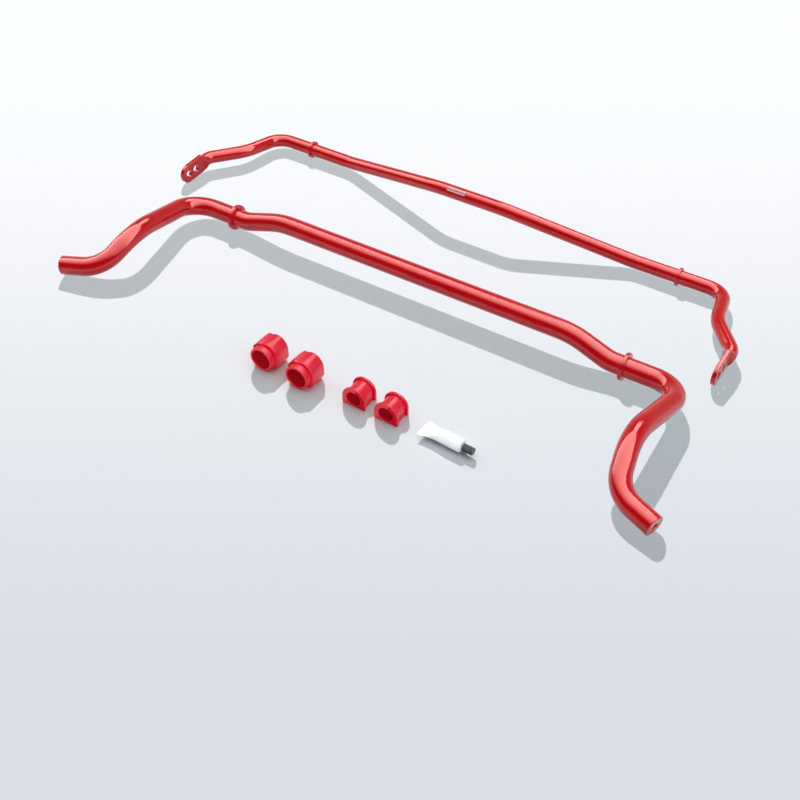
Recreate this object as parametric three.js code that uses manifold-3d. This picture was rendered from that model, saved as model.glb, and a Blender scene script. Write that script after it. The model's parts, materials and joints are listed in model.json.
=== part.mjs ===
// Sway bar set: a front and a rear anti-roll bar with their stop collars, two pairs of split
// bushings and a small tube of grease, laid out together on a flat surface.
// Millimetres. X runs along the bars, Y towards the back, Z up from the surface.
import * as THREE from 'three';
import { ConvexGeometry } from 'three/addons/geometries/ConvexGeometry.js';
import { mergeVertices } from 'three/addons/utils/BufferGeometryUtils.js';
import Module from 'manifold-3d';

const wasm = await Module();
wasm.setup();

const GAP = 0.3; // between two pieces that touch
const THROUGH = 40; // how far a cutter runs past what it cuts
const group = new THREE.Group();

// ---- Driving dimensions ----

const FRONT = {
  radius: 15,
  sides: 24,
  // The right half, from the middle outwards; the left half mirrors it.
  halfCorners: [
    [256, -10.5, 36.5], // the raised middle ends
    [318, -18, 20.5], // down to the height of the collars
    [432.5, -18, 20.5], // corner into the arm
    [414, -168.5, 55], // elbow, the arm's highest point
    [428.5, -239.5, 21.5], // foot, where the end turns outwards
    [490, -260.5, 15], // end face
  ],
  bendRadii: [150, 60, 42, 90, 53],
  collarX: 342,
  collarRadius: 20.5,
  collarWidth: 5.5,
  holeRadius: 4.75,
  holeDepth: 28,
};

const REAR = {
  radius: 11,
  sides: 20,
  place: [-23.5, 217], // the rear bar's own origin
  turn: THREE.MathUtils.degToRad(-0.45),
  halfCorners: [
    [60, -28.5, 55.5], // the raised middle ends
    [265, 11.5, 14.5], // down to the height of the collars
    [420, 11.5, 14.5], // corner into the arm
    [436, -65.5, 20], // the arm leans outwards
  ],
  bendRadii: [125, 72, 32, 75, 25],
  collarX: 346.5,
  collarRadius: 14.5,
  collarWidth: 4.5,
};

const BLADE = {
  tipHole: [478, -173, 16], // centre of the outer hole, at the middle of the thickness
  tilt: THREE.MathUtils.degToRad(4.5), // the blade rises towards the bar
  halfWidth: 16,
  thickness: 6.5,
  holeRadius: 6.25,
  holeSpacing: 17.5,
  shoulderAt: 36, // along the blade, from the outer hole
  rootAt: 44.5,
  lastBendAt: 54,
};

const STRIPE = { x: -24, length: 33, thickness: 0.25, angles: [118, 142], spread: 11 };

const FRONT_BUSHING = {
  boreRadius: 15.2,
  boreHeight: 18.5,
  bodyLength: 27,
  neckRadius: 18.5,
  neckLength: 10,
  slitWidth: 1.2,
  slitAngle: THREE.MathUtils.degToRad(30),
  frontFaces: [[-91.5, -276.5], [-27, -281]],
};

const REAR_BUSHING = {
  boreRadius: 11.2,
  boreHeight: 13,
  length: 29,
  flangeLength: 3.6,
  flangeRadius: 18.5,
  bodyRadius: 15.2,
  slitWidth: 1.2,
  slitAngle: THREE.MathUtils.degToRad(-90),
  frontFaces: [[59.5, -269], [112.5, -271]],
};

const GREASE = {
  crimpEnd: [164.5, -259.5],
  turn: THREE.MathUtils.degToRad(-3.5),
  radius: 9.5,
  crimpWidth: 29,
  crimpThickness: 1.4,
  crimpLength: 6,
  crimpHeight: 8,
  sleeveLength: 61.5,
  narrowedBy: 27, // how far from the crimp the sleeve is down to its full circle's width
  roundBy: 38,
  shoulderLength: 1,
  neckRadius: 3.4,
  neckLength: 9,
  orificeRadius: 1.2,
  capRadius: 5.4,
  capLength: 15.8,
  capBore: 3.9,
  capDepth: 10.5,
  linerThickness: 1,
  flutes: 20,
  fluteDepth: 0.45,
};

const RED_PAINT = { color: 0xc0141f, roughness: 0.18, metalness: 0.1 };
const RED_URETHANE = { color: 0xd62848, roughness: 0.5, metalness: 0 };

// ---- Helpers ----

function solidFrom(geometry) {
  const bare = geometry.clone();
  bare.deleteAttribute('normal');
  bare.deleteAttribute('uv');
  const merged = mergeVertices(bare);
  const mesh = new wasm.Mesh({
    numProp: 3,
    vertProperties: new Float32Array(merged.attributes.position.array),
    triVerts: new Uint32Array(merged.index.array),
  });
  return new wasm.Manifold(mesh);
}

function geometryFrom(solid) {
  const mesh = solid.getMesh();
  const geometry = new THREE.BufferGeometry();
  geometry.setAttribute('position', new THREE.BufferAttribute(mesh.vertProperties, 3));
  geometry.setIndex(new THREE.BufferAttribute(mesh.triVerts, 1));
  geometry.computeVertexNormals();
  return geometry;
}

function addPiece(name, geometry, look, parent = group) {
  const mesh = new THREE.Mesh(geometry, new THREE.MeshStandardMaterial(look));
  mesh.name = name;
  parent.add(mesh);
  return mesh;
}

// A centreline of straights and arcs. Its stations sit close together in the bends only.
class BentPath extends THREE.Curve {
  constructor(corners, radii, stepsPerBend = 8) {
    super();
    this.points = [corners[0].clone()];
    this.tangents = [corners[1].clone().sub(corners[0]).normalize()];
    radii.forEach((radius, i) => this.addBend(corners.slice(i, i + 3), radius, stepsPerBend));
    this.points.push(corners.at(-1).clone());
    this.tangents.push(this.tangents.at(-1).clone());
  }

  addBend([before, corner, after], radius, steps) {
    const incoming = corner.clone().sub(before).normalize();
    const outgoing = after.clone().sub(corner).normalize();
    const turn = incoming.angleTo(outgoing);
    const reach = radius * Math.tan(turn / 2);
    const start = corner.clone().addScaledVector(incoming, -reach);
    const side = outgoing.clone().addScaledVector(incoming, -outgoing.dot(incoming)).normalize();
    for (let i = 0; i <= steps; i += 1) {
      const angle = (turn * i) / steps;
      const point = start.clone().addScaledVector(incoming, radius * Math.sin(angle));
      this.points.push(point.addScaledVector(side, radius * (1 - Math.cos(angle))));
      const tangent = incoming.clone().multiplyScalar(Math.cos(angle));
      this.tangents.push(tangent.addScaledVector(side, Math.sin(angle)));
    }
  }

  get steps() {
    return this.points.length - 1;
  }

  getPoint(t, target = new THREE.Vector3()) {
    const place = t * this.steps;
    const i = Math.min(Math.floor(place + 1e-6), this.steps - 1);
    return target.lerpVectors(this.points[i], this.points[i + 1], place - i);
  }

  getPointAt(u, target) {
    return this.getPoint(u, target);
  }

  getTangentAt(u, target = new THREE.Vector3()) {
    return target.copy(this.tangents[Math.round(u * this.steps)]);
  }
}

function mirroredPath(halfCorners, halfRadii) {
  const right = halfCorners.map((corner) => new THREE.Vector3(...corner));
  const left = halfCorners.map(([x, y, z]) => new THREE.Vector3(-x, y, z)).reverse();
  return new BentPath([...left, ...right], [...halfRadii].reverse().concat(halfRadii));
}

function roundBar(path, radius, sides) {
  const section = new THREE.Shape().absarc(0, 0, radius, 0, 2 * Math.PI, false);
  return new THREE.ExtrudeGeometry(section, {
    steps: path.steps,
    extrudePath: path,
    curveSegments: sides / 2,
  });
}

// A straight round cutter or pin from one point, along a direction.
function roundRod(start, direction, length, radius, sides = 32) {
  const rod = new THREE.CylinderGeometry(radius, radius, length, sides);
  rod.translate(0, length / 2, 0);
  const along = new THREE.Vector3(...direction).normalize();
  rod.applyQuaternion(new THREE.Quaternion().setFromUnitVectors(new THREE.Vector3(0, 1, 0), along));
  rod.translate(...start);
  return rod;
}

// A closed outline with a rounded corner at each [x, y, radius].
function roundedShape(corners) {
  const shape = new THREE.Shape();
  corners.forEach(([x, y, radius], i) => {
    const corner = new THREE.Vector2(x, y);
    const before = new THREE.Vector2(...corners.at(i - 1).slice(0, 2));
    const after = new THREE.Vector2(...corners[(i + 1) % corners.length].slice(0, 2));
    const start = before.sub(corner).setLength(radius).add(corner);
    const end = after.sub(corner).setLength(radius).add(corner);
    if (i === 0) shape.moveTo(start.x, start.y);
    else shape.lineTo(start.x, start.y);
    shape.quadraticCurveTo(x, y, end.x, end.y);
  });
  shape.closePath();
  return shape;
}

// Extrudes an outline drawn in X and Z towards -Y, from the plane y = start.
function extrudeForward(shape, start, depth) {
  const options = { depth, bevelEnabled: false, curveSegments: 12 };
  return new THREE.ExtrudeGeometry(shape, options).rotateX(Math.PI / 2).translate(0, start, 0);
}

// ---- Bars ----

function addFrontBar() {
  const path = mirroredPath(FRONT.halfCorners, FRONT.bendRadii);
  let bar = solidFrom(roundBar(path, FRONT.radius, FRONT.sides));
  [0, path.steps].forEach((station) => {
    const outwards = path.tangents[station].clone().multiplyScalar(station === 0 ? -1 : 1);
    const bottom = path.points[station].clone().addScaledVector(outwards, -FRONT.holeDepth);
    const length = FRONT.holeDepth + THROUGH;
    const hole = roundRod(bottom.toArray(), outwards.toArray(), length, FRONT.holeRadius, 24);
    bar = bar.subtract(solidFrom(hole));
  });
  addPiece('front_bar', geometryFrom(bar), RED_PAINT);
}

// A flat stop ring with rounded rims around a bar that runs along X, split at its top.
function stopCollar(outerRadius, boreRadius, width) {
  const half = width / 2;
  const rim = 1.3;
  const profile = roundedShape([
    [boreRadius, -half, 0.3],
    [outerRadius, -half, rim],
    [outerRadius, half, rim],
    [boreRadius, half, 0.3],
  ]);
  const outline = profile.getPoints(2);
  const ring = new THREE.LatheGeometry(outline, 32).rotateZ(-Math.PI / 2);
  const splitWidth = 1.6;
  const splitAngle = THREE.MathUtils.degToRad(-32);
  const split = new THREE.BoxGeometry(THROUGH, splitWidth, THROUGH).translate(0, 0, THROUGH / 2);
  split.rotateX(splitAngle);
  return geometryFrom(solidFrom(ring).subtract(solidFrom(split)));
}

function addCollars(prefix, bar, parent) {
  const [, y, z] = bar.halfCorners[1];
  [['left', -1], ['right', 1]].forEach(([side, sign]) => {
    const ring = stopCollar(bar.collarRadius, bar.radius + GAP, bar.collarWidth);
    const collar = addPiece(`${prefix}_collar_${side}`, ring, RED_PAINT, parent);
    collar.position.set(sign * bar.collarX, y, z);
  });
}

// The point on the right blade's centre line at a distance from its outer hole.
function alongBlade(distance) {
  const [x, y, z] = BLADE.tipHole;
  return [x, y + distance * Math.cos(BLADE.tilt), z + distance * Math.sin(BLADE.tilt)];
}

function addRearBar(parent) {
  const corners = [...REAR.halfCorners, alongBlade(BLADE.lastBendAt), alongBlade(BLADE.rootAt)];
  const path = mirroredPath(corners, REAR.bendRadii);
  addPiece('rear_bar', roundBar(path, REAR.radius, REAR.sides), RED_PAINT, parent);
}

// A two-hole blade. Its own axes: Y along the blade from the outer hole, Z across it.
function bladeGeometry() {
  const { halfWidth, thickness, shoulderAt } = BLADE;
  const outline = new THREE.Shape();
  outline.moveTo(shoulderAt, -halfWidth);
  outline.lineTo(shoulderAt, halfWidth);
  outline.lineTo(0, halfWidth);
  outline.absarc(0, 0, halfWidth, Math.PI / 2, (3 * Math.PI) / 2, false);
  outline.closePath();
  const options = { depth: thickness, bevelEnabled: false, curveSegments: 20 };
  const plate = new THREE.ExtrudeGeometry(outline, options);
  // Outline x goes along the blade, outline y across it, and the depth along X.
  plate.applyMatrix4(new THREE.Matrix4().set(0, 0, 1, -thickness / 2, 1, 0, 0, 0, 0, 1, 0, 0, 0, 0, 0, 1));

  const shoulder = [];
  [-1, 1].forEach((side) => {
    [-1, 1].forEach((edge) => {
      const x = (side * thickness) / 2;
      shoulder.push(new THREE.Vector3(x, shoulderAt, edge * halfWidth));
      shoulder.push(new THREE.Vector3(x, shoulderAt - 1, edge * halfWidth));
    });
  });
  for (let i = 0; i < REAR.sides; i += 1) {
    const angle = (2 * Math.PI * i) / REAR.sides;
    const x = REAR.radius * Math.cos(angle);
    const z = REAR.radius * Math.sin(angle);
    shoulder.push(new THREE.Vector3(x, BLADE.rootAt - GAP, z));
  }
  let blade = solidFrom(plate).add(solidFrom(new ConvexGeometry(shoulder)));
  [0, BLADE.holeSpacing].forEach((distance) => {
    const hole = roundRod([-THROUGH / 2, distance, 0], [1, 0, 0], THROUGH, BLADE.holeRadius);
    blade = blade.subtract(solidFrom(hole));
  });
  return geometryFrom(blade);
}

function addBlades(parent) {
  [['left', -1], ['right', 1]].forEach(([side, sign]) => {
    const blade = addPiece(`rear_blade_${side}`, bladeGeometry(), RED_PAINT, parent);
    const [x, y, z] = BLADE.tipHole;
    blade.position.set(sign * x, y, z);
    blade.rotation.x = BLADE.tilt;
  });
}

// Two plain printed stripes that wrap part of the way round the rear bar's raised middle.
function addStripes(parent) {
  const inner = REAR.radius + GAP;
  const spread = THREE.MathUtils.degToRad(STRIPE.spread);
  const [, y, z] = REAR.halfCorners[0];
  [['upper', 0], ['lower', 1]].forEach(([name, index]) => {
    const start = THREE.MathUtils.degToRad(STRIPE.angles[index]) - spread / 2;
    const section = new THREE.Shape();
    section.absarc(0, 0, inner + STRIPE.thickness, start, start + spread, false);
    section.absarc(0, 0, inner, start + spread, start, true);
    section.closePath();
    const options = { depth: STRIPE.length, bevelEnabled: false, curveSegments: 6 };
    const stripe = new THREE.ExtrudeGeometry(section, options);
    stripe.rotateY(Math.PI / 2).rotateX(Math.PI / 2);
    const look = { color: 0xf2f2f0, roughness: 0.4, metalness: 0 };
    const piece = addPiece(`rear_stripe_${name}`, stripe, look, parent);
    piece.position.set(STRIPE.x - STRIPE.length / 2, y, z);
  });
}

// ---- Bushings ----

// Cuts the bore, which runs along Y, and the slit that lets the bushing open over a bar.
function boreAndSlit(body, size, height) {
  const bore = roundRod([0, THROUGH, height], [0, -1, 0], 3 * THROUGH, size.boreRadius, 48);
  const slit = new THREE.BoxGeometry(THROUGH, 3 * THROUGH, size.slitWidth);
  slit.translate(THROUGH / 2, 0, 0).rotateY(-size.slitAngle).translate(0, 0, height);
  return body.subtract(solidFrom(bore)).subtract(solidFrom(slit));
}

// A flat-based body with a shallow notch along its top, and a round neck at its front. The front
// face is at y = 0.
function frontBushing() {
  const body = roundedShape([
    [-16, 0, 3],
    [16, 0, 3],
    [21, 8, 4],
    [21, 28.5, 7],
    [11, 40.5, 7],
    [-0.5, 40.2, 2],
    [-4.5, 37.8, 1.4],
    [-9.5, 38.6, 2.4],
    [-21, 28.5, 5],
    [-21, 8, 3],
  ]);
  const size = FRONT_BUSHING;
  const back = size.neckLength + size.bodyLength;
  const block = solidFrom(extrudeForward(body, back, size.bodyLength));
  const neckStart = [0, size.neckLength + 1, size.boreHeight];
  const neck = roundRod(neckStart, [0, -1, 0], size.neckLength + 1, size.neckRadius, 48);
  return geometryFrom(boreAndSlit(block.add(solidFrom(neck)), size, size.boreHeight));
}

// A flat base with an arched top around the bore.
function archShape(radius, height) {
  const shape = new THREE.Shape();
  shape.moveTo(-radius, 0);
  shape.lineTo(radius, 0);
  shape.lineTo(radius, height);
  shape.absarc(0, height, radius, 0, Math.PI, false);
  shape.closePath();
  return shape;
}

// A flat-based body between two flanges of the same outline. The front face is at y = 0.
function rearBushing() {
  const size = REAR_BUSHING;
  const flange = archShape(size.flangeRadius, size.boreHeight);
  const body = archShape(size.bodyRadius, size.boreHeight);
  const front = solidFrom(extrudeForward(flange, size.flangeLength, size.flangeLength));
  const back = solidFrom(extrudeForward(flange, size.length, size.flangeLength));
  const middle = solidFrom(extrudeForward(body, size.length - 1, size.length - 2));
  return geometryFrom(boreAndSlit(front.add(back).add(middle), size, size.boreHeight));
}

function addBushings(prefix, makeGeometry, frontFaces) {
  ['left', 'right'].forEach((side, i) => {
    const bushing = addPiece(`${prefix}_bushing_${side}`, makeGeometry(), RED_URETHANE);
    bushing.position.set(frontFaces[i][0], frontFaces[i][1], 0);
  });
}

// ---- Grease tube, with its own axis along X from the crimp ----

// The sleeve's section goes from a flat crimp to a full circle.
function sleeveSection(x) {
  const grown = (x - GREASE.crimpLength) / (GREASE.roundBy - GREASE.crimpLength);
  const roundness = Math.sin((THREE.MathUtils.clamp(grown, 0, 1) * Math.PI) / 2);
  const narrowed = THREE.MathUtils.smoothstep(x, 0, GREASE.narrowedBy);
  return {
    halfWidth: THREE.MathUtils.lerp(GREASE.crimpWidth / 2, GREASE.radius, narrowed),
    halfHeight: THREE.MathUtils.lerp(GREASE.crimpThickness / 2, GREASE.radius, roundness),
    height: THREE.MathUtils.lerp(GREASE.crimpHeight, GREASE.radius, roundness),
  };
}

function sleeveGeometry() {
  const around = 36;
  const lengthwise = 22;
  const positions = [];
  const indices = [];
  for (let i = 0; i <= lengthwise; i += 1) {
    const x = (GREASE.sleeveLength * i) / lengthwise;
    const { halfWidth, halfHeight, height } = sleeveSection(x);
    for (let j = 0; j < around; j += 1) {
      const angle = (2 * Math.PI * j) / around;
      positions.push(x, halfWidth * Math.cos(angle), height + halfHeight * Math.sin(angle));
    }
  }
  for (let i = 0; i < lengthwise; i += 1) {
    for (let j = 0; j < around; j += 1) {
      const a = i * around + j;
      const b = i * around + ((j + 1) % around);
      indices.push(a, b, a + around, b, b + around, a + around);
    }
  }
  const last = lengthwise * around;
  for (let j = 1; j < around - 1; j += 1) {
    indices.push(0, j + 1, j);
    indices.push(last, last + j, last + j + 1);
  }
  const geometry = new THREE.BufferGeometry();
  geometry.setAttribute('position', new THREE.Float32BufferAttribute(positions, 3));
  geometry.setIndex(indices);
  geometry.computeVertexNormals();
  return geometry;
}

// Turns a profile of [radius, distance along the tube] pairs about the tube's axis.
function turnedAlongX(profile) {
  const points = profile.map(([radius, distance]) => new THREE.Vector2(radius, distance));
  const geometry = new THREE.LatheGeometry(points, 32).rotateZ(-Math.PI / 2);
  return geometry.translate(0, 0, GREASE.radius);
}

function headGeometry() {
  const start = GREASE.sleeveLength + GAP;
  const neckBase = start + GREASE.shoulderLength;
  const mouth = neckBase + GREASE.neckLength;
  const bore = GREASE.orificeRadius;
  return turnedAlongX([
    [0, start],
    [GREASE.radius - 0.2, start],
    [GREASE.radius - 0.4, start + 0.8],
    [GREASE.neckRadius, neckBase],
    [GREASE.neckRadius, mouth],
    [bore, mouth],
    [bore, start + 1.5],
    [0, start + 1.5],
  ]);
}

const capStart = GREASE.sleeveLength + GAP + GREASE.shoulderLength + 0.4;

function linerGeometry() {
  const end = capStart + GREASE.capDepth - GAP;
  const radius = GREASE.capBore - GAP;
  const start = end - GREASE.linerThickness;
  return turnedAlongX([[0, start], [radius, start], [radius, end], [0, end]]);
}

function capGeometry() {
  const outline = new THREE.Shape();
  const pointsPerFlute = 4;
  const count = GREASE.flutes * pointsPerFlute;
  for (let i = 0; i < count; i += 1) {
    const angle = (2 * Math.PI * i) / count;
    const dip = (GREASE.fluteDepth * (1 - Math.cos(GREASE.flutes * angle))) / 2;
    const radius = GREASE.capRadius - dip;
    const point = [radius * Math.cos(angle), radius * Math.sin(angle)];
    if (i === 0) outline.moveTo(...point);
    else outline.lineTo(...point);
  }
  outline.closePath();
  const options = { depth: GREASE.capLength, bevelEnabled: false };
  const fluted = new THREE.ExtrudeGeometry(outline, options).rotateY(Math.PI / 2);
  fluted.translate(capStart, 0, GREASE.radius);
  const boreStart = [capStart - THROUGH, 0, GREASE.radius];
  const bore = roundRod(boreStart, [1, 0, 0], THROUGH + GREASE.capDepth, GREASE.capBore, 40);
  return geometryFrom(solidFrom(fluted).subtract(solidFrom(bore)));
}

function addGreaseTube() {
  const tube = new THREE.Group();
  tube.position.set(GREASE.crimpEnd[0], GREASE.crimpEnd[1], 0);
  tube.rotation.z = GREASE.turn;
  group.add(tube);
  const white = { color: 0xf3f4f6, roughness: 0.35, metalness: 0 };
  addPiece('grease_sleeve', sleeveGeometry(), white, tube);
  addPiece('grease_head', headGeometry(), white, tube);
  addPiece('grease_cap_liner', linerGeometry(), { color: 0xe4e4df, roughness: 0.8 }, tube);
  addPiece('grease_cap', capGeometry(), { color: 0x15171a, roughness: 0.45, metalness: 0 }, tube);
}

// ---- Assembly ----

addFrontBar();
addCollars('front', FRONT, group);

const rear = new THREE.Group();
rear.position.set(REAR.place[0], REAR.place[1], 0);
rear.rotation.z = REAR.turn;
group.add(rear);
addRearBar(rear);
addBlades(rear);
addCollars('rear', REAR, rear);
addStripes(rear);

addBushings('front', frontBushing, FRONT_BUSHING.frontFaces);
addBushings('rear', rearBushing, REAR_BUSHING.frontFaces);
addGreaseTube();

// The origin is the middle of the set's footprint, at its lowest point.
group.updateMatrixWorld(true);
const box = new THREE.Box3().setFromObject(group, true);
const middle = box.getCenter(new THREE.Vector3());
group.position.set(-middle.x, -middle.y, -box.min.z);

export default group;
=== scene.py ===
# The looks of the sway bar set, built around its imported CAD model. Metres, +Z up.
import json
import math

import bmesh
import bpy
from mathutils import Matrix, Vector

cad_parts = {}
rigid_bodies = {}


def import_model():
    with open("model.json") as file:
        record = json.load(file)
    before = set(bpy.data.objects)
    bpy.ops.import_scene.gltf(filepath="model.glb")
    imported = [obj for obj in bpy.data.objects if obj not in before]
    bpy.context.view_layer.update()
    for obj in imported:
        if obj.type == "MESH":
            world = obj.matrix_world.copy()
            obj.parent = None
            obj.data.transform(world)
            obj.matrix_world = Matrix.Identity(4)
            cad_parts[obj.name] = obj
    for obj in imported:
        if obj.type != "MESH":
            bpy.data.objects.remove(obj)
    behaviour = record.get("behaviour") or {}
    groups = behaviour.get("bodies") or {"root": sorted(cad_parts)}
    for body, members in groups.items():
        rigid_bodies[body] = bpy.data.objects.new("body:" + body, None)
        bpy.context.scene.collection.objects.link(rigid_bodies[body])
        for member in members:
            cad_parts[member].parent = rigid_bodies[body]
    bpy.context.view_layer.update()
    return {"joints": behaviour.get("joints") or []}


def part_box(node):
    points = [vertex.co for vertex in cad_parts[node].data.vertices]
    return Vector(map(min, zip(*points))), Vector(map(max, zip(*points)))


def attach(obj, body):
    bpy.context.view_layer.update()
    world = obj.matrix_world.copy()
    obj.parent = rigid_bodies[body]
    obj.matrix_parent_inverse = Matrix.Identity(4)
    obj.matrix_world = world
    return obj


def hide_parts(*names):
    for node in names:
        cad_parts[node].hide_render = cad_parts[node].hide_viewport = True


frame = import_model()
MM = 0.001


def box_middle(node):
    low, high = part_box(node)
    return (low + high) / 2


# ---- Sizes, in millimetres, and places, from the frame ----

FRONT_RADIUS = 15.0
FRONT_CORNERS = [  # the right half, from the middle outwards
    (256.0, -10.5, 36.5),
    (318.0, -18.0, 20.5),
    (432.5, -18.0, 20.5),
    (414.0, -168.5, 55.0),
    (428.5, -239.5, 21.5),
    (490.0, -260.5, 15.0),
]
FRONT_BENDS = [150.0, 60.0, 42.0, 90.0, 53.0]
FRONT_END_EDGE = 1.0
FRONT_HOLE_RADIUS = 4.75
FRONT_HOLE_DEPTH = 28.0
FRONT_HOLE_MOUTH = [(0.9, 0.0), (0.3, 0.25), (0.0, 0.9)]  # wider than the hole by, at a depth
FRONT_HOLE_TIP = 2.5

REAR_RADIUS = 11.0
REAR_CORNERS = [
    (60.0, -28.5, 55.5),
    (265.0, 11.5, 14.5),
    (420.0, 11.5, 14.5),
    (436.0, -65.5, 20.0),
]
REAR_BENDS = [125.0, 72.0, 32.0, 75.0, 25.0]
REAR_PLACE = (-23.5, 217.0, 0.0)
REAR_TURN = math.radians(-0.45)

BLADE_HOLE = (478.0, -173.0, 16.0)
BLADE_TILT = math.radians(4.5)
BLADE_HALF_WIDTH = 16.0
BLADE_THICKNESS = 6.5
BLADE_SHOULDER = 36.0
BLADE_ROOT = 44.2
BLADE_LAST_BEND = 54.0
BLADE_HOLE_RADIUS = 6.25
BLADE_HOLE_SPACING = 17.5
BLADE_HOLE_EASE = 0.4
BLADE_EDGE = 1.1
BLADE_EDGE_ANGLES = (0.0, 0.4, 0.8, 1.2, math.pi / 2)

FRONT_COLLAR_SIZE = (20.5, 5.5)  # outer radius and width
REAR_COLLAR_SIZE = (14.5, 4.5)
COLLAR_PLAY = 0.02
COLLAR_EDGE = 0.8
COLLAR_CHAMFER = 0.4
COLLAR_SPLIT = 1.6
COLLAR_SPLIT_AT = math.radians(58.0)
COLLAR_STEPS = 96

STRIPES = {"upper": 118.0, "lower": 142.0}  # their middles, in degrees round the bar
STRIPE_SPREAD = 11.0
STRIPE_STEPS = 8
STRIPE_UNDER = 0.2  # from the bar's surface down into it
STRIPE_OVER = 0.06

FRONT_BUSHING_OUTLINE = [  # x, z and corner radius, anticlockwise from the base
    (-16.0, 0.0, 3.0),
    (16.0, 0.0, 3.0),
    (21.0, 8.0, 4.0),
    (21.0, 28.5, 7.0),
    (11.0, 40.5, 7.0),
    (-0.5, 40.2, 2.0),
    (-4.5, 37.8, 1.4),
    (-9.5, 38.6, 2.4),
    (-21.0, 28.5, 5.0),
    (-21.0, 8.0, 3.0),
]
FRONT_BUSHING_LENGTH = 37.0
FRONT_BUSHING_EDGE = 0.9
FRONT_BORE_RADIUS = 15.2
FRONT_BORE_HEIGHT = 18.5
NECK_RADIUS = 18.5
NECK_LENGTH = 10.0
FRONT_SLIT_ANGLE = math.radians(30.0)

REAR_BUSHING_LENGTH = 29.0
REAR_BORE_RADIUS = 11.2
REAR_BORE_HEIGHT = 13.0
FLANGE_RADIUS = 18.5
FLANGE_LENGTH = 3.6
FLANGE_EDGE = 0.7
BARREL_RADIUS = 15.2
BARREL_EDGE = 0.3
BARREL_INSET = 1.0  # from the bushing's ends to the barrel's, which lie inside the flanges
ARCH_CORNER = 1.5
REAR_SLIT_ANGLE = math.radians(-90.0)

SLIT_WIDTH = 0.3  # a bushing's slit closes up when nothing is in the bore
SLIT_REACH = 40.0
BORE_EASE = 0.6
OVERRUN = 2.0  # how far a cutter goes beyond what it cuts
WELD_DISTANCE = 0.000002

CAP_JOINT_AT = 65.0  # the cap's joint, along the tube from the crimp
TUBE_RADIUS = 9.5
SLEEVE_LENGTH = 61.5
CRIMP_LENGTH = 6.0
CRIMP_HALF_WIDTH = 14.5
CRIMP_HALF_THICKNESS = 0.7
CRIMP_DROP = -1.5  # from the tube's axis to the crimp's middle
CRIMP_RIB_HEIGHT = 0.12
CRIMP_RIB_PITCH = 1.25
SLACK = 0.025  # how much the sleeve's flattened part wavers, as a share of its thickness
SLACK_TWIST = 0.21
NARROWED_BY = 27.0  # how far from the crimp the sleeve is down to its full circle's width
ROUND_BY = 38.0
SLEEVE_EDGE = 1.2
SHOULDER_LENGTH = 1.0
TUBE_NECK_RADIUS = 3.1
TUBE_NECK_LENGTH = 9.0
TUBE_NECK_GAP = 0.3  # from the shoulder's slope to where the neck starts
TUBE_NECK_STEPS = 30
ORIFICE_RADIUS = 1.2
THREAD_PITCH = 2.0
THREAD_RIDGE = 0.5
THREAD_RUN_OUT = 1.5
CAP_GAP = 0.7
CAP_START = SLEEVE_LENGTH + SHOULDER_LENGTH + CAP_GAP
CAP_LENGTH = 15.8
CAP_RADIUS = 5.4
CAP_BORE = 3.9
CAP_DEPTH = 10.5
FLUTES = 20
FLUTE_DEPTH = 0.5
LINER_RADIUS = 3.6
LINER_THICKNESS = 1.0

# The CAD model is drawn about the front bar's middle, then moved so that its box is centred.
FRONT_COLLAR_PLACE = (342.0, -18.0, 20.5)
DRAWN_ORIGIN = box_middle("front_collar_right") - Vector(FRONT_COLLAR_PLACE) * MM
AT_FRONT = Matrix.Translation(DRAWN_ORIGIN)
AT_REAR = (
    AT_FRONT
    @ Matrix.Translation(Vector(REAR_PLACE) * MM)
    @ Matrix.Rotation(REAR_TURN, 4, "Z")
)


# ---- Mesh helpers ----


def object_from(name, bm):
    bmesh.ops.recalc_face_normals(bm, faces=bm.faces)
    mesh = bpy.data.meshes.new(name)
    bm.to_mesh(mesh)
    bm.free()
    made = bpy.data.objects.new(name, mesh)
    bpy.context.scene.collection.objects.link(made)
    return made


def piece_from(name, bm, materials, body, nodes, smooth_angle=30.0):
    piece = object_from(name, bm)
    for material in materials:
        piece.data.materials.append(material)
    piece.data.shade_smooth()
    piece.data.set_sharp_from_angle(angle=math.radians(smooth_angle))
    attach(piece, body)
    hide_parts(*nodes)
    return piece


def combine(bm, tools):
    """Joins or cuts with each (tool, operation) in turn, and returns a new bmesh."""
    work = object_from("work", bm)
    cutters = []
    for tool_bm, operation in tools:
        cutter = object_from("cutter", tool_bm)
        cutters.append(cutter)
        modifier = work.modifiers.new("combine", "BOOLEAN")
        modifier.object = cutter
        modifier.operation = operation
        modifier.solver = "EXACT"
    bpy.context.view_layer.update()
    evaluated = work.evaluated_get(bpy.context.evaluated_depsgraph_get())
    result = bmesh.new()
    result.from_mesh(evaluated.to_mesh())
    evaluated.to_mesh_clear()
    for done in (work, *cutters):
        mesh = done.data
        bpy.data.objects.remove(done)
        bpy.data.meshes.remove(mesh)
    bmesh.ops.remove_doubles(result, verts=result.verts, dist=WELD_DISTANCE)
    return result


def bridge(bm, rings):
    """Joins rings of points into a closed skin. A ring of one point closes to a tip."""
    made = [[bm.verts.new(point) for point in ring] for ring in rings]
    for first, second in zip(made, made[1:]):
        count = max(len(first), len(second))
        for i in range(count):
            j = (i + 1) % count
            if len(first) == 1:
                bm.faces.new((first[0], second[j], second[i]))
            elif len(second) == 1:
                bm.faces.new((first[i], first[j], second[0]))
            else:
                bm.faces.new((first[i], first[j], second[j], second[i]))
    for ring in (made[0], made[-1]):
        if len(ring) > 2:
            bm.faces.new(ring)


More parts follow.
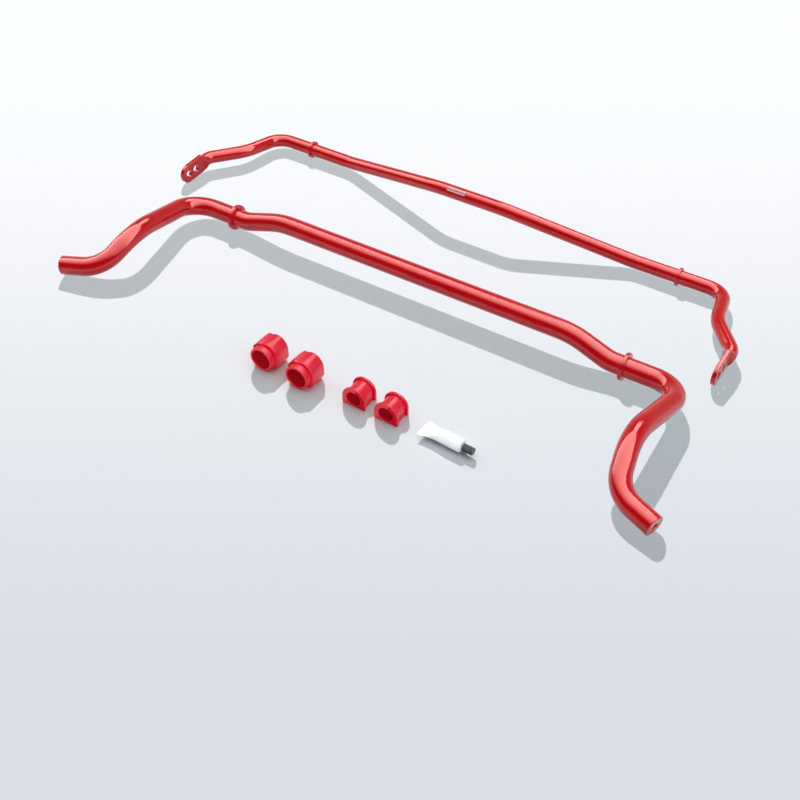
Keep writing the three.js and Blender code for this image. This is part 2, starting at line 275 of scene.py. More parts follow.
def bent_path(corners, radii, turn_step=math.radians(3.0)):
    """Points and directions along straights joined by arcs."""
    corners = [Vector(corner) for corner in corners]
    stations = [(corners[0], (corners[1] - corners[0]).normalized())]
    for before, corner, after, radius in zip(corners, corners[1:], corners[2:], radii):
        incoming = (corner - before).normalized()
        outgoing = (after - corner).normalized()
        turn = incoming.angle(outgoing)
        start = corner - incoming * radius * math.tan(turn / 2)
        side = (outgoing - incoming * outgoing.dot(incoming)).normalized()
        steps = max(4, round(turn / turn_step))
        for i in range(steps + 1):
            angle = turn * i / steps
            point = start + incoming * radius * math.sin(angle)
            point += side * radius * (1 - math.cos(angle))
            stations.append((point, incoming * math.cos(angle) + side * math.sin(angle)))
    stations.append((corners[-1], stations[-1][1]))
    return stations


def mirrored(corners):
    left = [(-x, y, z) for x, y, z in reversed(corners)]
    return left + list(corners)


def sweep(bm, stations, radius, end_profile, sides=64):
    """A round bar along the stations. end_profile lists (radius, depth) from the rim inwards."""
    direction = stations[0][1]
    normal = direction.orthogonal().normalized()
    frames = []
    for point, tangent in stations:
        normal = direction.rotation_difference(tangent) @ normal
        direction = tangent
        frames.append((point, tangent, normal))

    def ring(point, tangent, normal, size, shift=0.0):
        centre = point + tangent * shift
        if size == 0:
            return [centre]
        across = tangent.cross(normal)
        angles = (2 * math.pi * i / sides for i in range(sides))
        return [centre + (normal * math.cos(a) + across * math.sin(a)) * size for a in angles]

    rings = [ring(*frames[0], size, depth) for size, depth in reversed(end_profile)]
    rings += [ring(*station, radius) for station in frames[1:-1]]
    rings += [ring(*frames[-1], size, -depth) for size, depth in end_profile]
    bridge(bm, rings)


def edge_curve(edge, steps=4):
    """(depth, inset) pairs that round an edge over, from the side onto the flat."""
    angles = [math.pi / 2 * i / steps for i in range(steps + 1)]
    return [(edge * (1 - math.sin(a)), edge * (1 - math.cos(a))) for a in angles]


def rounded_rim(outer, edge):
    """The same curve as (radius, depth) pairs, round the end of a bar."""
    return [(outer - inset, depth) for depth, inset in edge_curve(edge)]


def turned(bm, profile, sides, place=Matrix.Identity(4), relief=None):
    """Turns rows of (radius, distance, ...) about the local X axis. relief(row, angle) is what
    a thread or a flute adds to the row's radius."""
    rings = []
    for row in profile:
        radius, distance = row[:2]
        if radius == 0:
            rings.append([place @ Vector((distance, 0, 0))])
            continue
        ring = []
        for i in range(sides):
            angle = 2 * math.pi * i / sides
            size = radius + relief(row, angle) if relief else radius
            ring.append(place @ Vector((distance, size * math.cos(angle), size * math.sin(angle))))
        rings.append(ring)
    bridge(bm, rings)


def eased_hole(radius, start, end, ease, sides, place):
    """A cutter for a round hole, with both mouths opened at 45 degrees."""
    mouth = radius + ease + OVERRUN
    profile = [(mouth, start - OVERRUN), (radius, start + ease)]
    profile += [(radius, end - ease), (mouth, end + OVERRUN)]
    bm = bmesh.new()
    turned(bm, profile, sides, place)
    return bm


# ---- Materials ----


def new_material(name):
    material = bpy.data.materials.new(name)
    material.use_nodes = True
    nodes = material.node_tree.nodes
    return material, nodes, material.node_tree.links, nodes["Principled BSDF"]


def add_noise(nodes, links, scale, detail=3.0):
    """Noise over the object's own coordinates, in cycles per metre."""
    coordinates = nodes.new("ShaderNodeTexCoord")
    noise = nodes.new("ShaderNodeTexNoise")
    noise.inputs["Scale"].default_value = scale
    noise.inputs["Detail"].default_value = detail
    links.new(coordinates.outputs["Object"], noise.inputs["Vector"])
    return noise


def add_ramp(nodes, links, source, stops):
    ramp = nodes.new("ShaderNodeValToRGB")
    ramp.color_ramp.elements[0].position = stops[0][0]
    ramp.color_ramp.elements[0].color = (*stops[0][1], 1.0)
    ramp.color_ramp.elements[1].position = stops[-1][0]
    ramp.color_ramp.elements[1].color = (*stops[-1][1], 1.0)
    for position, colour in stops[1:-1]:
        ramp.color_ramp.elements.new(position).color = (*colour, 1.0)
    links.new(source, ramp.inputs["Fac"])
    return ramp


def add_range(nodes, links, source, low, high):
    spread = nodes.new("ShaderNodeMapRange")
    spread.inputs["To Min"].default_value = low
    spread.inputs["To Max"].default_value = high
    links.new(source, spread.inputs["Value"])
    return spread


def add_bump(nodes, links, shader, height, distance, strength):
    bump = nodes.new("ShaderNodeBump")
    bump.inputs["Strength"].default_value = strength
    bump.inputs["Distance"].default_value = distance
    links.new(height, bump.inputs["Height"])
    links.new(bump.outputs["Normal"], shader.inputs["Normal"])


def red_powder_coat():
    material, nodes, links, shader = new_material("red_powder_coat")
    cloud = add_noise(nodes, links, 18.0)
    tones = [(0.3, (0.60, 0.002, 0.005)), (0.7, (0.67, 0.003, 0.008))]
    colour = add_ramp(nodes, links, cloud.outputs["Fac"], tones)
    links.new(colour.outputs["Color"], shader.inputs["Base Color"])
    peel = add_noise(nodes, links, 420.0, detail=2.0)
    roughness = add_range(nodes, links, peel.outputs["Fac"], 0.18, 0.28)
    links.new(roughness.outputs["Result"], shader.inputs["Roughness"])
    add_bump(nodes, links, shader, peel.outputs["Fac"], distance=0.000006, strength=0.5)
    shader.inputs["Metallic"].default_value = 0.08
    shader.inputs["Specular IOR Level"].default_value = 0.09
    shader.inputs["Coat Weight"].default_value = 1.0
    shader.inputs["Coat Roughness"].default_value = 0.05
    shader.inputs["Coat IOR"].default_value = 1.5
    return material


def red_urethane(name, dark, light, roughness_range, gloss):
    material, nodes, links, shader = new_material(name)
    cloud = add_noise(nodes, links, 60.0, detail=4.0)
    colour = add_ramp(nodes, links, cloud.outputs["Fac"], [(0.3, dark), (0.7, light)])
    links.new(colour.outputs["Color"], shader.inputs["Base Color"])
    grain = add_noise(nodes, links, 1600.0, detail=3.0)
    roughness = add_range(nodes, links, grain.outputs["Fac"], *roughness_range)
    links.new(roughness.outputs["Result"], shader.inputs["Roughness"])
    add_bump(nodes, links, shader, grain.outputs["Fac"], distance=0.00001, strength=0.5)
    shader.inputs["Subsurface Weight"].default_value = 0.4
    shader.inputs["Subsurface Radius"].default_value = (1.0, 0.1, 0.1)
    shader.inputs["Subsurface Scale"].default_value = 0.005
    shader.inputs["Specular IOR Level"].default_value = gloss
    return material


def tinted_plastic(name, dark, light, roughness_range, grain_scale, bump_distance):
    material, nodes, links, shader = new_material(name)
    cloud = add_noise(nodes, links, 90.0)
    colour = add_ramp(nodes, links, cloud.outputs["Fac"], [(0.3, dark), (0.7, light)])
    links.new(colour.outputs["Color"], shader.inputs["Base Color"])
    grain = add_noise(nodes, links, grain_scale)
    roughness = add_range(nodes, links, grain.outputs["Fac"], *roughness_range)
    links.new(roughness.outputs["Result"], shader.inputs["Roughness"])
    add_bump(nodes, links, shader, grain.outputs["Fac"], bump_distance, strength=0.6)
    return material


RED = red_powder_coat()
URETHANE = red_urethane(
    "red_urethane", (0.90, 0.006, 0.038), (0.96, 0.010, 0.054), (0.26, 0.36), 0.53
)
# The bore is the same urethane, rougher and less glossy; its darker colour is painted shade in the
# hole.
SHADED_BORE = red_urethane("dull_shaded_bore", (0.62, 0.003, 0.018), (0.68, 0.006, 0.026), (0.7, 0.85), 0.12)
WHITE = tinted_plastic(
    "white_plastic", (0.83, 0.83, 0.86), (0.87, 0.87, 0.89), (0.28, 0.4), 300.0, 0.00008
)
BLACK = tinted_plastic(
    "black_plastic", (0.062, 0.067, 0.070), (0.084, 0.090, 0.095), (0.22, 0.35), 2200.0, 0.00003
)
FOAM = tinted_plastic(
    "liner_foam", (0.70, 0.69, 0.66), (0.78, 0.77, 0.74), (0.75, 0.95), 3000.0, 0.00008
)
PRINT = tinted_plastic(
    "white_print", (0.80, 0.80, 0.79), (0.90, 0.90, 0.89), (0.3, 0.45), 1200.0, 0.00002
)


# ---- Bars ----


def to_frame(bm, placing):
    bmesh.ops.transform(bm, matrix=placing @ Matrix.Scale(MM, 4), verts=bm.verts)


def make_front_bar():
    """The thick bar, with a blind hole in each end."""
    profile = rounded_rim(FRONT_RADIUS, FRONT_END_EDGE)
    profile += [(FRONT_HOLE_RADIUS + wider, depth) for wider, depth in FRONT_HOLE_MOUTH]
    profile += [(FRONT_HOLE_RADIUS, FRONT_HOLE_DEPTH - FRONT_HOLE_TIP), (0, FRONT_HOLE_DEPTH)]
    bends = FRONT_BENDS[::-1] + FRONT_BENDS
    bm = bmesh.new()
    sweep(bm, bent_path(mirrored(FRONT_CORNERS), bends), FRONT_RADIUS, profile)
    to_frame(bm, AT_FRONT)
    piece_from("front_bar_coated", bm, [RED], "front_bar", ["front_bar"])


def along_blade(distance):
    x, y, z = BLADE_HOLE
    return (x, y + distance * math.cos(BLADE_TILT), z + distance * math.sin(BLADE_TILT))


def make_rear_bar():
    """The thin bar. Its plain ends lie inside the blades' round roots."""
    corners = REAR_CORNERS + [along_blade(BLADE_LAST_BEND), along_blade(BLADE_ROOT)]
    bends = REAR_BENDS[::-1] + REAR_BENDS
    profile = [(REAR_RADIUS, 0.0), (0, 0.0)]
    bm = bmesh.new()
    sweep(bm, bent_path(mirrored(corners), bends), REAR_RADIUS, profile)
    to_frame(bm, AT_REAR)
    piece_from("rear_bar_coated", bm, [RED], "rear_bar", ["rear_bar"])


def make_collar(node, body, bar_radius, size, turn):
    """A flat stop ring with rounded rims, split at one side."""
    bore = bar_radius + COLLAR_PLAY
    outer, width = size
    half = width / 2
    rim = edge_curve(COLLAR_EDGE, steps=5)
    section = [(bore, -half + COLLAR_CHAMFER), (bore + COLLAR_CHAMFER, -half)]
    section += [(outer - inset, -half + depth) for depth, inset in reversed(rim)]
    section += [(outer - inset, half - depth) for depth, inset in rim]
    section += [(bore + COLLAR_CHAMFER, half), (bore, half - COLLAR_CHAMFER)]
    gap = COLLAR_SPLIT / outer
    rings = []
    for i in range(COLLAR_STEPS + 1):
        angle = COLLAR_SPLIT_AT + gap / 2 + (2 * math.pi - gap) * i / COLLAR_STEPS
        rings.append(
            [Vector((x, r * math.cos(angle), r * math.sin(angle))) for r, x in section]
        )
    bm = bmesh.new()
    bridge(bm, rings)
    to_frame(bm, Matrix.Translation(box_middle(node)) @ Matrix.Rotation(turn, 4, "Z"))
    piece_from(f"{node}_ring", bm, [RED], body, [node])


def make_collars():
    for side in ("left", "right"):
        make_collar(f"front_collar_{side}", "front_bar", FRONT_RADIUS, FRONT_COLLAR_SIZE, 0.0)
        make_collar(f"rear_collar_{side}", "rear_bar", REAR_RADIUS, REAR_COLLAR_SIZE, REAR_TURN)


def blade_outline(inset, steps=28):
    """The plate's outline as (along, across), drawn in by inset."""
    half = BLADE_HALF_WIDTH - inset
    end = BLADE_SHOULDER - inset
    points = [(end, -half), (end, half)]
    for i in range(steps + 1):
        angle = math.pi / 2 + math.pi * i / steps
        points.append((half * math.cos(angle), half * math.sin(angle)))
    return points


def rounded_section(half_thickness, half_width, corner, steps=12):
    """A rounded rectangle as (x, across) points, from its +x side round."""
    points = []
    for quarter, (sx, sy) in enumerate(((1, 1), (-1, 1), (-1, -1), (1, -1))):
        for i in range(steps + 1):
            angle = math.pi / 2 * (quarter + i / steps)
            x = sx * (half_thickness - corner) + corner * math.cos(angle)
            y = sy * (half_width - corner) + corner * math.sin(angle)
            points.append((x, y))
    return points


def make_blade(side, sign):
    """A flat end with two holes, which grows into a round root."""
    half = BLADE_THICKNESS / 2
    rim = [
        (half - BLADE_EDGE * (1 - math.sin(a)), BLADE_EDGE * (1 - math.cos(a)))
        for a in BLADE_EDGE_ANGLES
    ]
    layers = [(-x, inset) for x, inset in reversed(rim)] + rim
    plate = bmesh.new()
    bridge(
        plate,
        [[Vector((x, along, across)) for along, across in blade_outline(inset)] for x, inset in layers],
    )
    sections = [  # along, half thickness, half width and corner radius, from flat to round
        (BLADE_SHOULDER - 1.5, half, BLADE_HALF_WIDTH - 0.05, BLADE_EDGE),
        (BLADE_SHOULDER, half + 0.05, BLADE_HALF_WIDTH - 0.4, 1.6),
        (BLADE_SHOULDER + 4.0, 7.3, 14.0, 5.5),
        (BLADE_ROOT - 0.6, 10.8, 11.2, 10.5),
        (BLADE_ROOT, REAR_RADIUS, REAR_RADIUS, REAR_RADIUS - 0.001),
    ]
    rings = []
    for along, *shape in sections:
        rings.append([Vector((x, along, across)) for x, across in rounded_section(*shape)])
    root = bmesh.new()
    bridge(root, rings)
    tools = [(root, "UNION")]
    for distance in (0.0, BLADE_HOLE_SPACING):
        place = Matrix.Translation((0, distance, 0))
        hole = eased_hole(BLADE_HOLE_RADIUS, -half, half, BLADE_HOLE_EASE, 48, place)
        tools.append((hole, "DIFFERENCE"))
    bm = combine(plate, tools)
    x, y, z = BLADE_HOLE
    local = Matrix.Translation(Vector((sign * x, y, z)) * MM) @ Matrix.Rotation(BLADE_TILT, 4, "X")
    to_frame(bm, AT_REAR @ local)
    node = f"rear_blade_{side}"
    piece_from(f"{node}_forged", bm, [RED], "rear_bar", [node], smooth_angle=40.0)


def make_stripes():
    """Two plain printed stripes, laid on the rear bar's raised middle."""
    up = range(STRIPE_STEPS + 1)
    for name, middle in STRIPES.items():
        node = f"rear_stripe_{name}"
        low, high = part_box(node)
        section = []
        for radius, steps in ((REAR_RADIUS - STRIPE_UNDER, up), (REAR_RADIUS + STRIPE_OVER, up[::-1])):
            for step in steps:
                angle = math.radians(middle + STRIPE_SPREAD * (step / STRIPE_STEPS - 0.5))
                section.append(Vector((0, radius * math.cos(angle), radius * math.sin(angle))))
        length = (high.x - low.x) / MM
        bm = bmesh.new()
        bridge(bm, [[point + Vector((x, 0, 0)) for point in section] for x in (0.0, length)])
        start = AT_REAR.inverted() @ low
        _, y, z = REAR_CORNERS[0]
        to_frame(bm, AT_REAR @ Matrix.Translation(Vector((start.x, y * MM, z * MM))))
        piece_from(f"{node}_print", bm, [PRINT], "rear_bar", [node])


# ---- Bushings ----


def rounded_outline(corners, steps=6):
    """A closed outline of (x, z) points with each corner (x, z, radius) rounded."""
    points = []
    for i, (x, z, radius) in enumerate(corners):
        corner = Vector((x, z))
        before = Vector(corners[i - 1][:2])
        after = Vector(corners[(i + 1) % len(corners)][:2])
        start = corner + (before - corner).normalized() * radius
        end = corner + (after - corner).normalized() * radius
        for k in range(steps + 1):
            t = k / steps
            points.append(start * (1 - t) ** 2 + corner * 2 * t * (1 - t) + end * t**2)
    return points


def drawn_in(points, distance):
    """The outline moved inwards by a distance. The outline runs anticlockwise."""
    moved = []
    for i, point in enumerate(points):
        before = (point - points[i - 1]).normalized()
        after = (points[(i + 1) % len(points)] - point).normalized()
        along = (before + after).normalized()
        moved.append(point + Vector((-along.y, along.x)) * distance)
    return moved


def slab(outline, front, back, edge):
    """An outline carried along Y, with both rims rounded."""
    rim = edge_curve(edge)
    layers = [(front + depth, inset) for depth, inset in reversed(rim)]
    layers += [(back - depth, inset) for depth, inset in rim]
    bm = bmesh.new()
    bridge(bm, [[Vector((p.x, y, p.y)) for p in drawn_in(outline, inset)] for y, inset in layers])
    return bm


def along_y(height):
    """Places a turned shape's X axis along Y, at a height."""
    return Matrix.Translation((0, 0, height)) @ Matrix.Rotation(math.pi / 2, 4, "Z")


def bore_cutters(radius, height, length, slit_angle):
    """A bore with eased mouths, and the slit from it to the outside."""
    bore = eased_hole(radius, 0.0, length, BORE_EASE, 72, along_y(height))
    slit = bmesh.new()
    bmesh.ops.create_cube(slit, size=1.0)
    shape = Matrix.Diagonal((SLIT_REACH, length + 2 * OVERRUN, SLIT_WIDTH, 1.0))
    from_bore = Matrix.Translation((SLIT_REACH / 2, length / 2, 0))
    placing = Matrix.Translation((0, 0, height)) @ Matrix.Rotation(-slit_angle, 4, "Y") @ from_bore
    bmesh.ops.transform(slit, matrix=placing @ shape, verts=slit.verts)
    return [(bore, "DIFFERENCE"), (slit, "DIFFERENCE")]


def dull_and_shade_the_bore(bm, radius, height):
    """Gives the bore's faces their own finish: rougher, and darker as painted shade in the hole."""
    for face in bm.faces:
        middle = face.calc_center_median()
        if math.hypot(middle.x, middle.z - height) < radius + 0.05:
            face.material_index = 1


def front_face(node):
    low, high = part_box(node)
    return Matrix.Translation(((low.x + high.x) / 2, low.y, low.z))


def finish_bushing(node, solid, joined, radius, height, length, slit_angle):
    """Joins a bushing's solids, bores and slits them, and lays the bushing in its place."""
    tools = [(part, "UNION") for part in joined]
    bm = combine(solid, tools + bore_cutters(radius, height, length, slit_angle))
    dull_and_shade_the_bore(bm, radius, height)
    to_frame(bm, front_face(node))
    materials = [URETHANE, SHADED_BORE]
    piece_from(f"{node}_moulded", bm, materials, node, [node], smooth_angle=35.0)


def make_front_bushing(node):
    """A block with a notched top, and a round neck towards the front."""
    outline = rounded_outline(FRONT_BUSHING_OUTLINE)
    height, length = FRONT_BORE_HEIGHT, FRONT_BUSHING_LENGTH
    block = slab(outline, NECK_LENGTH, length, FRONT_BUSHING_EDGE)
    inside = NECK_LENGTH + 1.0
    profile = [(0, 0.0)] + rounded_rim(NECK_RADIUS, FRONT_BUSHING_EDGE)[::-1]
    profile += [(NECK_RADIUS, inside), (0, inside)]
    neck = bmesh.new()
    turned(neck, profile, sides=72, place=along_y(height))
    finish_bushing(node, block, [neck], FRONT_BORE_RADIUS, height, length, FRONT_SLIT_ANGLE)


def arch_outline(radius, height, steps=32):
    """Upright sides on a flat base, under a half circle."""
    corners = [(-radius, 0, ARCH_CORNER), (radius, 0, ARCH_CORNER)]
    corners += [(radius, height, 0), (-radius, height, 0)]
    rounded = rounded_outline(corners)
    points = rounded[: len(rounded) // 2]  # the half circle takes the place of the upper corners
    for i in range(steps + 1):
        angle = math.pi * i / steps
        points.append(Vector((radius * math.cos(angle), height + radius * math.sin(angle))))
    return points


def make_rear_bushing(node):
    """An arched barrel between two wider flanges."""
    height, length = REAR_BORE_HEIGHT, REAR_BUSHING_LENGTH
    wide = arch_outline(FLANGE_RADIUS, height)
    narrow = arch_outline(BARREL_RADIUS, height)
    front = slab(wide, 0.0, FLANGE_LENGTH, FLANGE_EDGE)
    back = slab(wide, length - FLANGE_LENGTH, length, FLANGE_EDGE)
    barrel = slab(narrow, BARREL_INSET, length - BARREL_INSET, BARREL_EDGE)
    finish_bushing(node, front, [barrel, back], REAR_BORE_RADIUS, height, length, REAR_SLIT_ANGLE)


# ---- Grease tube ----

cap_joint = next(joint for joint in frame["joints"] if joint["name"] == "cap_turn")
TUBE_AXIS = Vector(cap_joint["axis"])
TUBE_START = Vector(cap_joint["pos_m"]) - TUBE_AXIS * CAP_JOINT_AT * MM
AT_TUBE = Matrix.Translation(TUBE_START) @ TUBE_AXIS.to_track_quat("X", "Z").to_matrix().to_4x4()


def blend_value(start, end, share):
    return start + (end - start) * share


def make_sleeve():
    """A plastic sleeve, round at its head and welded flat at its tail."""
    lengthwise, around = 96, 96
    rings = []
    for i in range(lengthwise + 1):
        x = SLEEVE_LENGTH * i / lengthwise
        grown = min(max((x - CRIMP_LENGTH) / (ROUND_BY - CRIMP_LENGTH), 0.0), 1.0)
        roundness = math.sin(grown * math.pi / 2)
        share = min(x / NARROWED_BY, 1.0)
        half_width = blend_value(CRIMP_HALF_WIDTH, TUBE_RADIUS, share * share * (3 - 2 * share))
        half_height = blend_value(CRIMP_HALF_THICKNESS, TUBE_RADIUS, roundness)
        middle = blend_value(CRIMP_DROP, 0.0, roundness)
        if x < CRIMP_LENGTH:
            half_height += CRIMP_RIB_HEIGHT * math.cos(2 * math.pi * x / CRIMP_RIB_PITCH)
        into_edge = max(0.0, x - (SLEEVE_LENGTH - SLEEVE_EDGE)) / SLEEVE_EDGE
        inset = SLEEVE_EDGE * (1 - math.sqrt(max(0.0, 1 - into_edge * into_edge)))
        ring = []
        for j in range(around):
            angle = 2 * math.pi * j / around
            slack = SLACK * (1 - roundness) * math.sin(3 * angle + x * SLACK_TWIST)
            y = (half_width - inset) * math.cos(angle)
            z = middle + (half_height - inset) * math.sin(angle) * (1 + slack)
            ring.append(Vector((x, y, z)))
        rings.append(ring)
    bm = bmesh.new()
    bridge(bm, rings)
    to_frame(bm, AT_TUBE)
    return piece_from(
        "grease_sleeve_skin",
        bm,
        [WHITE],
        "grease_tube",
        ["grease_sleeve"],
        smooth_angle=50.0,
    )


def make_head():
    """The shoulder and the threaded neck."""
    start = SLEEVE_LENGTH + 0.05
    neck_base = SLEEVE_LENGTH + SHOULDER_LENGTH + TUBE_NECK_GAP
    mouth = neck_base + TUBE_NECK_LENGTH
    floor = start + 2.0
    neck, orifice = TUBE_NECK_RADIUS, ORIFICE_RADIUS
    rows = [(0, start), (TUBE_RADIUS - 1.1, start), (TUBE_RADIUS - 1.3, start + 0.5)]
    rows += [(neck + 0.3, neck_base)]
    step = TUBE_NECK_LENGTH / TUBE_NECK_STEPS
    rows += [(neck, neck_base + step * i) for i in range(1, TUBE_NECK_STEPS)]
    rows += [(neck - 0.3, mouth), (orifice + 0.3, mouth), (orifice, mouth - 0.3)]
    rows += [(orifice, floor), (0, floor)]

    def thread(row, angle):
        radius, x = row
        if radius != neck:
            return 0.0
        turn = (x - neck_base) / THREAD_PITCH - angle / (2 * math.pi)
        fade = min(1.0, (x - neck_base) / THREAD_RUN_OUT, (mouth - x) / THREAD_RUN_OUT)
        return THREAD_RIDGE * max(0.0, math.cos(2 * math.pi * turn)) * max(0.0, fade)

    bm = bmesh.new()
    turned(bm, rows, sides=64, relief=thread)
    to_frame(bm, AT_TUBE)
    return piece_from(
        "grease_head_moulded",
        bm,
        [WHITE],
        "grease_tube",
        ["grease_head"],
        smooth_angle=40.0,
    )


def make_cap():
    """A fluted screw cap with a plain end."""
    start = CAP_START
    end = start + CAP_LENGTH
    inside = start + CAP_DEPTH
    outer, bore = CAP_RADIUS, CAP_BORE
    rows = [(0, inside, 0), (bore, inside, 0), (bore, start + 0.4, 0), (bore + 0.3, start, 0)]
    rows += [(outer - 0.3, start, 0), (outer, start + 0.3, 0), (outer, start + 1.0, 0)]
    rows += [(outer, start + 1.6, 0.6), (outer, start + 2.0, 1)]
    rows += [(outer, end - 1.4, 1), (outer, end - 1.0, 0.6)]
    rows += [(outer - 0.1, end - 0.6, 0.1), (outer - 0.35, end - 0.2, 0), (outer - 0.8, end, 0)]
    rows += [(outer - 1.4, end, 0), (outer - 1.6, end - 0.25, 0), (0, end - 0.25, 0)]

    def flutes(row, angle):
        """A row's third value is its share of the flutes' depth."""
        return row[2] * FLUTE_DEPTH * (abs(math.sin(FLUTES * angle / 2)) ** 0.7 - 1)

    bm = bmesh.new()
    turned(bm, rows, sides=FLUTES * 8, relief=flutes)
    to_frame(bm, AT_TUBE)
    piece_from(
        "grease_cap_fluted",
        bm,
        [BLACK],
        "grease_cap",
        ["grease_cap"],
        smooth_angle=35.0,
    )


def make_liner():
    """A foam disc against the floor of the cap."""
    end = CAP_START + CAP_DEPTH - 0.1
    start = end - LINER_THICKNESS
    profile = [(0, start), (LINER_RADIUS - 0.3, start), (LINER_RADIUS, start + 0.3)]
    profile += [(LINER_RADIUS, end - 0.2), (LINER_RADIUS - 0.2, end), (0, end)]
    bm = bmesh.new()
    turned(bm, profile, sides=48)
    to_frame(bm, AT_TUBE)
    piece_from("cap_liner_disc", bm, [FOAM], "grease_cap_liner", ["grease_cap_liner"])


# ---- Stage ----

VIEW_TURN = math.radians(32.69)  # the view, and the floor's fade, turned from straight ahead
VIEW_DROP = math.radians(42.83)  # how far the view looks down
CAMERA_PLACE = (699.5, -1149.9, 1019.9)
LENS = 49.57


def make_camera():
    """The camera stands in front, to the right and above, and sees the whole set."""
    data = bpy.data.cameras.new("camera")
    data.lens = LENS
    data.sensor_width = 36.0
    data.clip_end = 100.0
    camera = bpy.data.objects.new("camera", data)
    camera.location = DRAWN_ORIGIN + Vector(CAMERA_PLACE) * MM
    camera.rotation_euler = (math.pi / 2 - VIEW_DROP, 0.0, VIEW_TURN)
    bpy.context.scene.collection.objects.link(camera)
    bpy.context.scene.camera = camera


# Painted shade: the floor's colour falls off as the light does, greyest just in front of the set.
FLOOR_SHADE_TONES = [  # along the view, in metres from the set's middle, from near to far
    (-4.00, (0.735, 0.740, 0.755)),
    (-0.85, (0.585, 0.590, 0.635)),
    (-0.65, (0.585, 0.590, 0.635)),
    (-0.24, (0.665, 0.678, 0.697)),
    (0.05, (0.745, 0.732, 0.755)),
    (0.35, (0.790, 0.777, 0.785)),
    (0.80, (0.820, 0.820, 0.820)),
]
FLOOR_HALF = 12.0
FLOOR_DROP = 0.0002  # keeps the floor just clear of what stands on it


def make_floor():
    """A pale floor, greyest just in front of the set and paler again beyond: painted shade for the
    light's fall-off.
    """
    bm = bmesh.new()
    bmesh.ops.create_grid(bm, x_segments=8, y_segments=8, size=FLOOR_HALF)
    mesh = bpy.data.meshes.new("floor")
    bm.to_mesh(mesh)
    bm.free()
    floor = bpy.data.objects.new("floor", mesh)
    floor.location.z = -FLOOR_DROP
    floor.rotation_euler.z = VIEW_TURN
    bpy.context.scene.collection.objects.link(floor)
    material, nodes, links, shader = new_material("pale_floor")
    coordinates = nodes.new("ShaderNodeTexCoord")
    split = nodes.new("ShaderNodeSeparateXYZ")
    links.new(coordinates.outputs["Object"], split.inputs["Vector"])
    depth = nodes.new("ShaderNodeMapRange")
    near, far = FLOOR_SHADE_TONES[0][0], FLOOR_SHADE_TONES[-1][0]
    depth.inputs["From Min"].default_value = near
    depth.inputs["From Max"].default_value = far
    links.new(split.outputs["Y"], depth.inputs["Value"])
    stops = [((distance - near) / (far - near), tone) for distance, tone in FLOOR_SHADE_TONES]
    colour = add_ramp(nodes, links, depth.outputs["Result"], stops)
    links.new(colour.outputs["Color"], shader.inputs["Base Color"])
    shader.inputs["Roughness"].default_value = 0.9
    shader.inputs["Specular IOR Level"].default_value = 0.0
    mesh.materials.append(material)
    return floor


def group_of(name, pieces):
    group = bpy.data.collections.new(name)
    for piece in pieces:
        group.objects.link(piece)
    return group


def add_sun(name, towards, energy, spread, lit_group):
    """A sun that lights only one group of pieces; every piece still shades the others."""
    data = bpy.data.lights.new(name, "SUN")
    data.energy = energy
    data.angle = math.radians(spread)
    sun = bpy.data.objects.new(name, data)
    sun.rotation_euler = Vector(towards).to_track_quat("-Z", "Y").to_euler()
    bpy.context.scene.collection.objects.link(sun)
    sun.light_linking.receiver_collection = lit_group
    return sun


def made_of(material):
    meshes = (piece for piece in bpy.context.scene.objects if piece.type == "MESH")
    return [piece for piece in meshes if piece.data.materials[0] == material]


def make_lights(floor, tube_pieces):
    """A low key behind the set throws the shadows. A wide top light deepens the red paint, and
    wide front lights fill the near sides of the tube and the bushings."""
    painted = made_of(RED)
    for piece in painted:
        piece.visible_diffuse = False  # the paint throws no red glow onto the floor
    tube = group_of("tube", tube_pieces)
    low_behind = (0.78, -1.04, -1.0)
    sharp, soft = 1.0, 60.0
    add_sun("floor_key", low_behind, 2.8, sharp, group_of("floor", [floor]))
    add_sun("tube_key", low_behind, 2.8, sharp, tube)
    add_sun("fill", (-0.3, 0.7, -0.8), 1.8, soft, tube).visible_glossy = False
    add_sun("top", (0.0, 0.1, -1.0), 0.95, soft, group_of("painted", painted)).visible_glossy = False
    add_sun("front", (-0.3, 0.9, -0.5), 0.8, soft, group_of("bushings", made_of(URETHANE)))


def add_math(nodes, links, operation, *values):
    node = nodes.new("ShaderNodeMath")
    node.operation = operation
    for socket, value in zip(node.inputs, values):
        if isinstance(value, bpy.types.NodeSocket):
            links.new(value, socket)
        else:
            socket.default_value = value
    return node.outputs["Value"]


def add_product(nodes, links, first, *others):
    product = first
    for other in others:
        product = add_math(nodes, links, "MULTIPLY", product, other)
    return product


def add_step(nodes, links, source, span, low=0.0, high=1.0):
    """Goes smoothly from low to high while the source crosses the span."""
    step = nodes.new("ShaderNodeMapRange")
    step.interpolation_type = "SMOOTHSTEP"
    links.new(source, step.inputs["Value"])
    for name, value in zip(("From Min", "From Max", "To Min", "To Max"), (*span, low, high)):
        step.inputs[name].default_value = value
    return step.outputs["Result"]


# What the gloss sees. A slope is how far back a direction goes for each unit that it rises,
# and each pair is where a fade starts and where it is complete.
LIGHTS_ABOVE = (0.02, 0.10)
BOX_STARTS = (-1.15, 0.30)
BOX_ENDS = (0.60, 0.54)
BOX_STRENGTH = 5.5
STRIP_STARTS = (0.54, 0.60)
STRIP_ENDS = (1.30, 0.90)
STRIP_LEFT = (-0.36, -0.20)
STRIP_RIGHT = (0.25, 0.05)
STRIP_STRENGTH = 6.8
BACKDROP_DEPTHS = (-0.2, 0.4)
BACKDROP_FRONT = 0.06
BACKDROP_BACK = 0.72
BACKDROP_HEIGHTS = (-0.2, 1.0)
ROOM_SHARE = 0.23  # of the gloss's studio, as the light that falls on the set
ROOM_GLOW = 0.10
BACKGROUND = 0.95  # what the camera sees past the floor


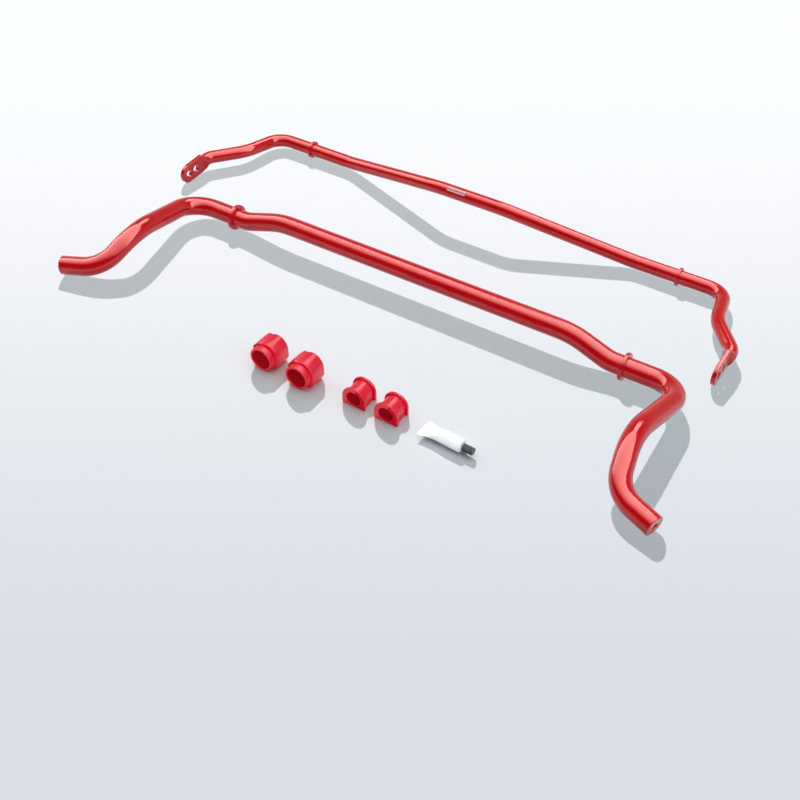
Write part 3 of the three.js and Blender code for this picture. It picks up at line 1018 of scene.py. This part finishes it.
def make_world():
    """An even pale studio. Gloss sees a soft box overhead, a short bright strip behind it, a
    bright back and a dark front."""
    world = bpy.data.worlds.new("studio")
    world.use_nodes = True
    nodes, links = world.node_tree.nodes, world.node_tree.links
    coordinates = nodes.new("ShaderNodeTexCoord")
    split = nodes.new("ShaderNodeSeparateXYZ")
    links.new(coordinates.outputs["Generated"], split.inputs["Vector"])
    height = split.outputs["Z"]
    depth = split.outputs["Y"]
    side = split.outputs["X"]
    slope = add_math(nodes, links, "DIVIDE", depth, height)
    above = add_step(nodes, links, height, LIGHTS_ABOVE)
    box_edges = [add_step(nodes, links, slope, span) for span in (BOX_STARTS, BOX_ENDS)]
    box = add_product(nodes, links, *box_edges, above)
    strip_edges = [add_step(nodes, links, side, span) for span in (STRIP_LEFT, STRIP_RIGHT)]
    strip_edges += [add_step(nodes, links, slope, span) for span in (STRIP_ENDS, STRIP_STARTS)]
    strip = add_product(nodes, links, *strip_edges, above)
    behind = add_step(nodes, links, depth, BACKDROP_DEPTHS, BACKDROP_FRONT, BACKDROP_BACK)
    falloff = add_step(nodes, links, height, BACKDROP_HEIGHTS, 1.0, 0.0)
    backdrop = add_product(nodes, links, behind, falloff)
    gloss = add_math(nodes, links, "MULTIPLY_ADD", box, BOX_STRENGTH, backdrop)
    gloss = add_math(nodes, links, "MULTIPLY_ADD", strip, STRIP_STRENGTH, gloss)
    dimmed = add_math(nodes, links, "MULTIPLY_ADD", gloss, ROOM_SHARE, ROOM_GLOW)
    path = nodes.new("ShaderNodeLightPath")
    shader = None
    looks = [
        (dimmed, (0.92, 0.98, 1.0, 1.0), None),
        (gloss, (1.0, 0.96, 0.91, 1.0), "Is Glossy Ray"),
        (BACKGROUND, (0.97, 0.98, 1.0, 1.0), "Is Camera Ray"),
    ]
    for strength, colour, ray in looks:
        background = nodes.new("ShaderNodeBackground")
        background.inputs["Color"].default_value = colour
        if isinstance(strength, float):
            background.inputs["Strength"].default_value = strength
        else:
            links.new(strength, background.inputs["Strength"])
        if ray is None:
            shader = background.outputs["Background"]
            continue
        mix = nodes.new("ShaderNodeMixShader")
        links.new(path.outputs[ray], mix.inputs["Fac"])
        links.new(shader, mix.inputs[1])
        links.new(background.outputs["Background"], mix.inputs[2])
        shader = mix.outputs["Shader"]
    links.new(shader, nodes["World Output"].inputs["Surface"])
    bpy.context.scene.world = world


make_camera()
make_front_bar()
make_rear_bar()
make_collars()
make_blade("left", -1)
make_blade("right", 1)
make_stripes()
for bushing_side in ("left", "right"):
    make_front_bushing(f"front_bushing_{bushing_side}")
    make_rear_bushing(f"rear_bushing_{bushing_side}")
sleeve_and_head = [make_sleeve(), make_head()]
make_cap()
make_liner()
make_lights(make_floor(), sleeve_and_head)
make_world()
bpy.context.scene.view_settings.view_transform = "Standard"
